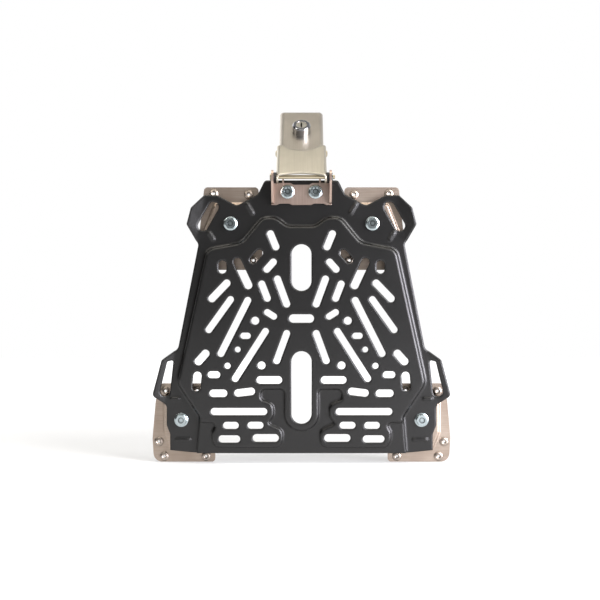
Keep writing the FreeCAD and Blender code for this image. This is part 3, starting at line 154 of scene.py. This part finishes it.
coat, tree, place = new_finish("powder_coated_steel")
grain = add_node(tree, "ShaderNodeTexNoise", {
    "Vector": place, "Scale": per_metre(COAT_GRAIN), "Detail": 3.0})
cloud = add_node(tree, "ShaderNodeTexNoise", {
    "Vector": place, "Scale": per_metre(COAT_CLOUD), "Detail": 2.0})
tone = add_node(tree, "ShaderNodeMixRGB", {
    "Fac": grain.outputs["Fac"], "Color1": linear("060606"), "Color2": linear("0e0d0d")})
gloss = add_node(tree, "ShaderNodeMapRange", {
    "Value": cloud.outputs["Fac"], "To Min": COAT_ROUGH[0], "To Max": COAT_ROUGH[1]})
flow = add_node(tree, "ShaderNodeBevel", {"Radius": COAT_FLOW * MM}, samples=BEND_SAMPLES)
skin = add_node(tree, "ShaderNodeBump", {
    "Height": grain.outputs["Fac"], "Strength": 0.10, "Distance": COAT_RELIEF * MM,
    "Normal": flow.outputs["Normal"]})
# The default level is 0.5. A fresh coat mirrors a little more.
surface = add_node(tree, "ShaderNodeBsdfPrincipled", {
    "Base Color": tone.outputs["Color"], "Roughness": gloss.outputs["Result"],
    "Normal": skin.outputs["Normal"], "Specular IOR Level": 0.6})
add_node(tree, "ShaderNodeOutputMaterial", {"Surface": surface.outputs["BSDF"]})
dress(coat, "mounting_plate")

# %% [markdown]
# The brackets and the latch are cut from cold rolled stainless sheet. Rolling and
# brushing leave fine lines along the sheet, and the steel has a warm tint. An anisotropic
# shader could streak the light, but a stretched noise also draws the single lines. All
# sheets share one recipe, with a colour pair and the direction of the lines. The hasp
# leans back, so its lines lean with it, and its folded corners turn more softly.

# %% Brushed stainless steel
# Brushed lines are about 0.1 mm wide, and are drawn at 0.6 mm so that they show.
LINE_WIDTH = 0.6
LINE_LENGTH = 40
LINE_DEPTH = 0.04
SHEET_CLOUD = 22
ROUGH_SPREAD = 0.03
# Two noises multiplied stay mostly between these values.
TINT_FROM, TINT_TO = 0.05, 0.5


def brushed_steel(name, light, dark, rough, along, lean=0.0, fold=0.0):
    """Stainless sheet with lines along one axis, leaning about X, and folds of some mm."""
    finish, tree, place = new_finish(name)
    stretch = [(LINE_LENGTH if axis == along else LINE_WIDTH) * MM for axis in "XYZ"]
    lines_at = add_node(tree, "ShaderNodeMapping", {
        "Vector": place, "Rotation": (lean, 0, 0), "Scale": stretch}, vector_type="TEXTURE")
    lines = add_node(tree, "ShaderNodeTexNoise", {
        "Vector": lines_at.outputs["Vector"], "Scale": 1.0, "Detail": 3.0})
    cloud = add_node(tree, "ShaderNodeTexNoise", {
        "Vector": place, "Scale": per_metre(SHEET_CLOUD), "Detail": 2.0})
    mixed = add_node(tree, "ShaderNodeMath", {
        0: lines.outputs["Fac"], 1: cloud.outputs["Fac"]}, operation="MULTIPLY")
    tint = add_node(tree, "ShaderNodeMapRange", {
        "Value": mixed.outputs["Value"], "From Min": TINT_FROM, "From Max": TINT_TO})
    tone = add_node(tree, "ShaderNodeMixRGB", {
        "Fac": tint.outputs["Result"], "Color1": linear(dark), "Color2": linear(light)})
    gloss = add_node(tree, "ShaderNodeMapRange", {
        "Value": lines.outputs["Fac"], "To Min": rough - ROUGH_SPREAD, "To Max": rough + ROUGH_SPREAD})
    brushed = add_node(tree, "ShaderNodeBump", {
        "Height": lines.outputs["Fac"], "Strength": 0.10, "Distance": LINE_DEPTH * MM})
    if fold:
        turned = add_node(tree, "ShaderNodeBevel", {"Radius": fold * MM}, samples=BEND_SAMPLES)
        tree.links.new(turned.outputs["Normal"], brushed.inputs["Normal"])
    surface = add_node(tree, "ShaderNodeBsdfPrincipled", {
        "Base Color": tone.outputs["Color"], "Metallic": 1.0, "Roughness": gloss.outputs["Result"],
        "Normal": brushed.outputs["Normal"]})
    add_node(tree, "ShaderNodeOutputMaterial", {"Surface": surface.outputs["BSDF"]})
    return finish


# %% Dress the sheets and the pins
SHEET_ROUGH = 0.36
PIN_ROUGH = 0.3
HASP_LEAN = math.radians(-45)
HASP_FOLD = 3.0

dress(brushed_steel("bracket_stainless", "bcaea1", "9d8d80", SHEET_ROUGH, "X"),
      "upper_left_bracket", "upper_right_bracket", "lower_left_bracket", "lower_right_bracket")
dress(brushed_steel("latch_base_stainless", "cab7ab", "aa9488", SHEET_ROUGH, "Z"), "latch_base")
dress(brushed_steel("sleeve_stainless", "c9c3b5", "b4aea0", SHEET_ROUGH, "Z", HASP_LEAN, HASP_FOLD),
      "hasp_sleeve")
dress(brushed_steel("tongue_stainless", "bcb5aa", "a69f95", SHEET_ROUGH, "Z", HASP_LEAN, HASP_FOLD),
      "lock_tongue")
dress(brushed_steel("pin_stainless", "cbbfa4", "b3a78c", PIN_ROUGH, "X"), "hinge_pin", "tongue_rivet")

# %% [markdown]
# The dished bolt heads and the hollow rivets get painted shade: their colour darkens in the corners
# and in the middle, where little open sky reaches. The marks could be painted by hand, but an
# occlusion node finds every corner by itself.

# %% Painted corner shade
CORNER_REACH = 2.5
CORNER_SAMPLES = 8


def painted_corner_shade(tree, bright, shade_tone, deep, clear):
    """Painted shade: a colour that blends from a dark shade tone to bright as the open sky grows from
    deep to clear.
    """
    sky = add_node(tree, "ShaderNodeAmbientOcclusion", {
        "Distance": CORNER_REACH * MM}, samples=CORNER_SAMPLES)
    lit_share = add_node(tree, "ShaderNodeMapRange", {
        "Value": sky.outputs["AO"], "From Min": deep, "From Max": clear})
    mixed = add_node(tree, "ShaderNodeMixRGB", {
        "Fac": lit_share.outputs["Result"], "Color1": linear(shade_tone), "Color2": bright})
    return mixed.outputs["Color"]


print("corners dull within", CORNER_REACH, "mm")

# %% [markdown]
# The bolts have rolled threads. They could be real ridges, but they are fine and mostly
# hidden, so they are rings in the bump that rise and fall along the bolt. They start
# behind the plate, so the heads stay smooth.

# %% Bolt threads
# A real thread has a ring each 1 mm. These rise over 1 mm and fall over the next, so they
# are drawn 2 mm apart, coarse enough to show.
THREAD_RISE = 1.0
THREAD_DEPTH = 0.5
THREAD_FROM = 3.0


def bolt_thread(tree, place):
    """The normal of rings along the Y axis, which start behind the plate."""
    axes = add_node(tree, "ShaderNodeSeparateXYZ", {"Vector": place})
    turn = add_node(tree, "ShaderNodeMath", {
        0: axes.outputs["Y"], 1: per_metre(THREAD_RISE)}, operation="MULTIPLY")
    ridge = add_node(tree, "ShaderNodeMath", {
        0: turn.outputs["Value"], 1: 1.0}, operation="PINGPONG")
    shank = add_node(tree, "ShaderNodeMath", {
        0: axes.outputs["Y"], 1: THREAD_FROM * MM}, operation="GREATER_THAN")
    height = add_node(tree, "ShaderNodeMath", {
        0: ridge.outputs["Value"], 1: shank.outputs["Value"]}, operation="MULTIPLY")
    thread = add_node(tree, "ShaderNodeBump", {
        "Height": height.outputs["Value"], "Strength": 0.8, "Distance": THREAD_DEPTH * MM})
    return thread.outputs["Normal"]


print("thread rings each", 2 * THREAD_RISE, "mm")

# %% [markdown]
# Bolts and nuts are steel with a bright zinc plate. The plate is thin and a little cloudy,
# and its passivation leaves a cold blue tint. A second layer over plain steel could show
# it, but nothing of the steel is seen through it, so one metal with two tints is enough.

# %% Zinc plated steel
ZINC_CLOUD = 3
ZINC_ROUGH = (0.16, 0.26)


def zinc_plated(name, threaded):
    """Zinc plated steel, with or without a thread along the Y axis."""
    finish, tree, place = new_finish(name)
    cloud = add_node(tree, "ShaderNodeTexNoise", {
        "Vector": place, "Scale": per_metre(ZINC_CLOUD), "Detail": 3.0})
    tone = add_node(tree, "ShaderNodeMixRGB", {
        "Fac": cloud.outputs["Fac"], "Color1": linear("9aa6aa"), "Color2": linear("c3cdcf")})
    # Painted shade: the zinc colour goes dark in corners, such as the dished bolt heads.
    plated = painted_corner_shade(tree, tone.outputs["Color"], shade_tone="3c4143", deep=0.45, clear=0.9)
    gloss = add_node(tree, "ShaderNodeMapRange", {
        "Value": cloud.outputs["Fac"], "To Min": ZINC_ROUGH[0], "To Max": ZINC_ROUGH[1]})
    surface = add_node(tree, "ShaderNodeBsdfPrincipled", {
        "Base Color": plated, "Metallic": 1.0, "Roughness": gloss.outputs["Result"]})
    if threaded:
        tree.links.new(bolt_thread(tree, place), surface.inputs["Normal"])
    add_node(tree, "ShaderNodeOutputMaterial", {"Surface": surface.outputs["BSDF"]})
    return finish


dress(zinc_plated("zinc_plated_thread", True), "corner_bolts", "latch_base_bolts")
dress(zinc_plated("zinc_plated_steel", False), "corner_nuts", "latch_base_nuts", "hinge_clip",
      "lock_cam", "cam_screw")

# %% [markdown]
# Setting them polishes the rim of the head and leaves the broken mandrel in a hollow in the middle.
# The hollow is darkened with painted shade. Two materials could show that, but each rivet is one piece
# of one metal, so the painted corner shade does it within a single finish.

# %% Plain steel
RIVET_CLOUD = 2
RIVET_ROUGH = (0.30, 0.42)

rivet, tree, place = new_finish("plain_steel")
cloud = add_node(tree, "ShaderNodeTexNoise", {
    "Vector": place, "Scale": per_metre(RIVET_CLOUD), "Detail": 3.0})
tone = add_node(tree, "ShaderNodeMixRGB", {
    "Fac": cloud.outputs["Fac"], "Color1": linear("8f847b"), "Color2": linear("bdb2a7")})
# Painted shade: the steel colour goes dark in the hollow middle of each head.
shaded_rivet_tone = painted_corner_shade(tree, tone.outputs["Color"], shade_tone="2e2925", deep=0.5, clear=0.92)
gloss = add_node(tree, "ShaderNodeMapRange", {
    "Value": cloud.outputs["Fac"], "To Min": RIVET_ROUGH[0], "To Max": RIVET_ROUGH[1]})
surface = add_node(tree, "ShaderNodeBsdfPrincipled", {
    "Base Color": shaded_rivet_tone, "Metallic": 1.0, "Roughness": gloss.outputs["Result"]})
add_node(tree, "ShaderNodeOutputMaterial", {"Surface": surface.outputs["BSDF"]})
dress(rivet, "upper_left_rivets", "upper_right_rivets", "lower_left_rivets", "lower_right_rivets")

# %% [markdown]
# The lock body is die cast zinc with a chrome plate, which is almost a mirror. A single
# roughness would look too clean, and a pattern in the colour would look dirty, so one
# colour is kept and only the gloss varies, as a faint haze.

# %% Chrome plated zinc
CHROME_HAZE = 4
CHROME_ROUGH = (0.06, 0.14)

chrome, tree, place = new_finish("chrome_plated_zinc")
haze = add_node(tree, "ShaderNodeTexNoise", {
    "Vector": place, "Scale": per_metre(CHROME_HAZE), "Detail": 2.0})
gloss = add_node(tree, "ShaderNodeMapRange", {
    "Value": haze.outputs["Fac"], "To Min": CHROME_ROUGH[0], "To Max": CHROME_ROUGH[1]})
surface = add_node(tree, "ShaderNodeBsdfPrincipled", {
    "Base Color": linear("a9a9ac"), "Metallic": 1.0, "Roughness": gloss.outputs["Result"]})
add_node(tree, "ShaderNodeOutputMaterial", {"Surface": surface.outputs["BSDF"]})
dress(chrome, "lock_barrel")

# %% [markdown]
# The ring nut behind the lock is plain turned brass, and the plug that takes the key is
# brass with a thin nickel plate. Both come from the lathe with the same satin grain, one
# yellow and one grey. The turned rings could be drawn one by one, but these pieces are
# small, so a fine noise stands for them in one recipe, with two colour pairs.

# %% Turned brass, bare and nickel plated
TURNING = 1.5


def turned_metal(name, dark, light, rough_low, rough_high):
    """Brass from the lathe, bare or plated, with a fine satin grain."""
    finish, tree, place = new_finish(name)
    turning = add_node(tree, "ShaderNodeTexNoise", {
        "Vector": place, "Scale": per_metre(TURNING), "Detail": 2.0})
    tone = add_node(tree, "ShaderNodeMixRGB", {
        "Fac": turning.outputs["Fac"], "Color1": linear(dark), "Color2": linear(light)})
    gloss = add_node(tree, "ShaderNodeMapRange", {
        "Value": turning.outputs["Fac"], "To Min": rough_low, "To Max": rough_high})
    surface = add_node(tree, "ShaderNodeBsdfPrincipled", {
        "Base Color": tone.outputs["Color"], "Metallic": 1.0, "Roughness": gloss.outputs["Result"]})
    add_node(tree, "ShaderNodeOutputMaterial", {"Surface": surface.outputs["BSDF"]})
    return finish


dress(turned_metal("turned_brass", "8f7a4c", "c9b27a", rough_low=0.26, rough_high=0.36),
      "lock_ring_nut")
dress(turned_metal("nickel_plated_brass", "9b978d", "c0bcb2", rough_low=0.30, rough_high=0.40),
      "lock_plug")

# %% [markdown]
# The bushes and the hinge washers are moulded black nylon. The mould gives them a matt
# skin. It could have a bump as the coat has, but these pieces are small and half hidden,
# so only the gloss changes a little from spot to spot.

# %% Moulded nylon
NYLON_SKIN = 1.0
NYLON_ROUGH = (0.45, 0.65)

nylon, tree, place = new_finish("moulded_nylon")
matt = add_node(tree, "ShaderNodeTexNoise", {
    "Vector": place, "Scale": per_metre(NYLON_SKIN), "Detail": 2.0})
gloss = add_node(tree, "ShaderNodeMapRange", {
    "Value": matt.outputs["Fac"], "To Min": NYLON_ROUGH[0], "To Max": NYLON_ROUGH[1]})
surface = add_node(tree, "ShaderNodeBsdfPrincipled", {
    "Base Color": linear("161617"), "Roughness": gloss.outputs["Result"], "IOR": 1.53})
add_node(tree, "ShaderNodeOutputMaterial", {"Surface": surface.outputs["BSDF"]})
dress(nylon, "corner_bushes", "hinge_washers")

# %% [markdown]
# The part stands in front of a white sweep, in a studio that is dim on the left and paler
# on the right. A picture of a studio could light it, but two values and a blend between
# them are easier to set. Camera rays see plain white instead, and so do mirror rays that
# go back to the sweep, so the background is white without more light on the part.

# %% World
# A heading is a direction of length 1, so its X and Y run from -1 to 1.
SOFT_LIGHT = {"left": 0.08, "right": 0.42}
LEFT_END, RIGHT_END = -0.6, 0.5
SWEEP_FROM, SWEEP_TO = 0.1, 0.6

scene = bpy.context.scene
scene.view_settings.view_transform = "Standard"
room = bpy.data.worlds.new("white_room")
scene.world = room
room.use_nodes = True
tree = room.node_tree
tree.nodes.clear()
ray = add_node(tree, "ShaderNodeLightPath")
heading = add_node(tree, "ShaderNodeTexCoord")
axes = add_node(tree, "ShaderNodeSeparateXYZ", {"Vector": heading.outputs["Generated"]})
sweep = add_node(tree, "ShaderNodeMapRange", {
    "Value": axes.outputs["Y"], "From Min": SWEEP_FROM, "From Max": SWEEP_TO})
level = add_node(tree, "ShaderNodeMapRange", {
    "Value": axes.outputs["X"], "From Min": LEFT_END, "From Max": RIGHT_END,
    "To Min": SOFT_LIGHT["left"], "To Max": SOFT_LIGHT["right"]})
mirrored = add_node(tree, "ShaderNodeMath", {
    0: ray.outputs["Is Glossy Ray"], 1: sweep.outputs["Result"]}, operation="MULTIPLY")
direct = add_node(tree, "ShaderNodeMath", {
    0: ray.outputs["Is Camera Ray"], 1: mirrored.outputs["Value"]}, operation="MAXIMUM")
seen = add_node(tree, "ShaderNodeMath", {
    0: direct.outputs["Value"], 1: ray.outputs["Is Transmission Ray"]}, operation="MAXIMUM")
light = add_node(tree, "ShaderNodeBackground", {
    "Color": linear("ffffff"), "Strength": level.outputs["Result"]})
white = add_node(tree, "ShaderNodeBackground", {"Color": linear("ffffff"), "Strength": 1.0})
either = add_node(tree, "ShaderNodeMixShader", {
    0: seen.outputs["Value"], 1: light.outputs["Background"], 2: white.outputs["Background"]})
add_node(tree, "ShaderNodeOutputWorld", {"Surface": either.outputs["Shader"]})
print("soft light", SOFT_LIGHT)

# %% [markdown]
# The part stands on a pale table. A plain white table would show a line where it meets the
# sweep, so it adds some white of its own for camera and mirror rays, and more of it far
# away. It keeps only the soft shadow of the part.

# %% Floor
# The gap below the part is in millimetres, the size and the distances are in metres.
FLOOR_SIZE = 4.0
FLOOR_GAP = 0.5
NEAR, FAR = 0.3, 1.2
NEAR_WHITE, FAR_WHITE = 0.45, 0.95

bpy.ops.mesh.primitive_plane_add(size=FLOOR_SIZE, location=(0, 0, cad_low.z - FLOOR_GAP * MM))
floor = bpy.context.object
floor.name = "floor"
table, tree, place = new_finish("white_table")
ray = add_node(tree, "ShaderNodeLightPath")
seen = add_node(tree, "ShaderNodeMath", {
    0: ray.outputs["Is Camera Ray"], 1: ray.outputs["Is Glossy Ray"]}, operation="MAXIMUM")
reach = add_node(tree, "ShaderNodeVectorMath", {0: place}, operation="LENGTH")
distant = add_node(tree, "ShaderNodeMapRange", {
    "Value": reach.outputs["Value"], "From Min": NEAR, "From Max": FAR,
    "To Min": NEAR_WHITE, "To Max": FAR_WHITE})
own_white = add_node(tree, "ShaderNodeMath", {
    0: seen.outputs["Value"], 1: distant.outputs["Result"]}, operation="MULTIPLY")
surface = add_node(tree, "ShaderNodeBsdfPrincipled", {
    "Base Color": linear("b8b8b8"), "Roughness": 0.9, "Emission Color": linear("ffffff"),
    "Emission Strength": own_white.outputs["Value"]})
add_node(tree, "ShaderNodeOutputMaterial", {"Surface": surface.outputs["BSDF"]})
floor.data.materials.append(table)
print("floor at", round(floor.location.z, 4))

# %% [markdown]
# Soft lamps stand around the part like windows and reflectors. A sun would be simpler, but
# metal needs wide lamps to mirror. Two tall ones on the right draw bright lines along the
# bends that face them, and a small one above them lights the diagonals. A wide bounce and
# a strip from above fill the front and the top edges, a weak lamp on the left keeps the
# far bends from going black, and one behind shows the back.

# %% Lamps
def soft_lamp(name, at, towards, width, height, power, colour):
    """A rectangular lamp that faces a point, with places and sizes in metres."""
    data = bpy.data.lights.new(name, "AREA")
    data.shape = "RECTANGLE"
    data.size = width
    data.size_y = height
    data.energy = power
    data.color = linear(colour)[:3]
    lamp = bpy.data.objects.new(name, data)
    lamp.location = at
    lamp.rotation_euler = (Vector(towards) - Vector(at)).to_track_quat("-Z", "Y").to_euler()
    scene.collection.objects.link(lamp)
    print(name, power, "W")


# Each line gives a name, a place, what the lamp faces, its width, height, watts and colour.
MIDDLE = (0.0, 0.0, 0.07)
soft_lamp("key_lamp", (0.85, -0.90, 0.2), MIDDLE, 0.4, 0.9, 18, "f8f6ff")
soft_lamp("right_window", (0.95, -0.58, 0.15), MIDDLE, 0.5, 0.8, 20, "f8f6ff")
soft_lamp("high_window", (0.72, -0.62, 0.80), MIDDLE, 0.5, 0.5, 7, "fffdfa")
soft_lamp("front_bounce", (0.0, -1.0, 1.1), MIDDLE, 1.5, 0.7, 1.8, "fffbf4")
soft_lamp("top_strip", (0.0, -0.25, 1.15), MIDDLE, 0.9, 0.3, 5, "fff8ea")
soft_lamp("left_lamp", (-0.72, -0.55, 0.85), MIDDLE, 0.3, 0.5, 2.4, "fffaf0")
soft_lamp("back_lamp", (-0.7, 1.2, 0.8), MIDDLE, 1.7, 1.7, 9, "ffffff")

# %% [markdown]
# The photograph looks straight at the plate, from a little above the middle of its panel.
# How far away the camera stood can't be told, so a common distance of about a metre was
# taken. The lens follows from it, so that one pixel of the square picture is one
# millimetre at the panel.

# %% Camera
# The distance is in metres, the picture in pixels, and the rest in millimetres.
DISTANCE = 1.1
EYE_HEIGHT = 80
EYE_LEFT = 1.5
PICTURE = 600
SENSOR = 36.0

camera_data = bpy.data.cameras.new("camera")
camera_data.sensor_width = SENSOR
camera_data.lens = SENSOR * DISTANCE / (PICTURE * MM)
camera = bpy.data.objects.new("camera", camera_data)
camera.location = (-EYE_LEFT * MM, -DISTANCE, EYE_HEIGHT * MM)
camera.rotation_euler = (math.radians(90), 0, 0)
scene.collection.objects.link(camera)
scene.camera = camera
print("lens", round(camera_data.lens, 1), "mm")
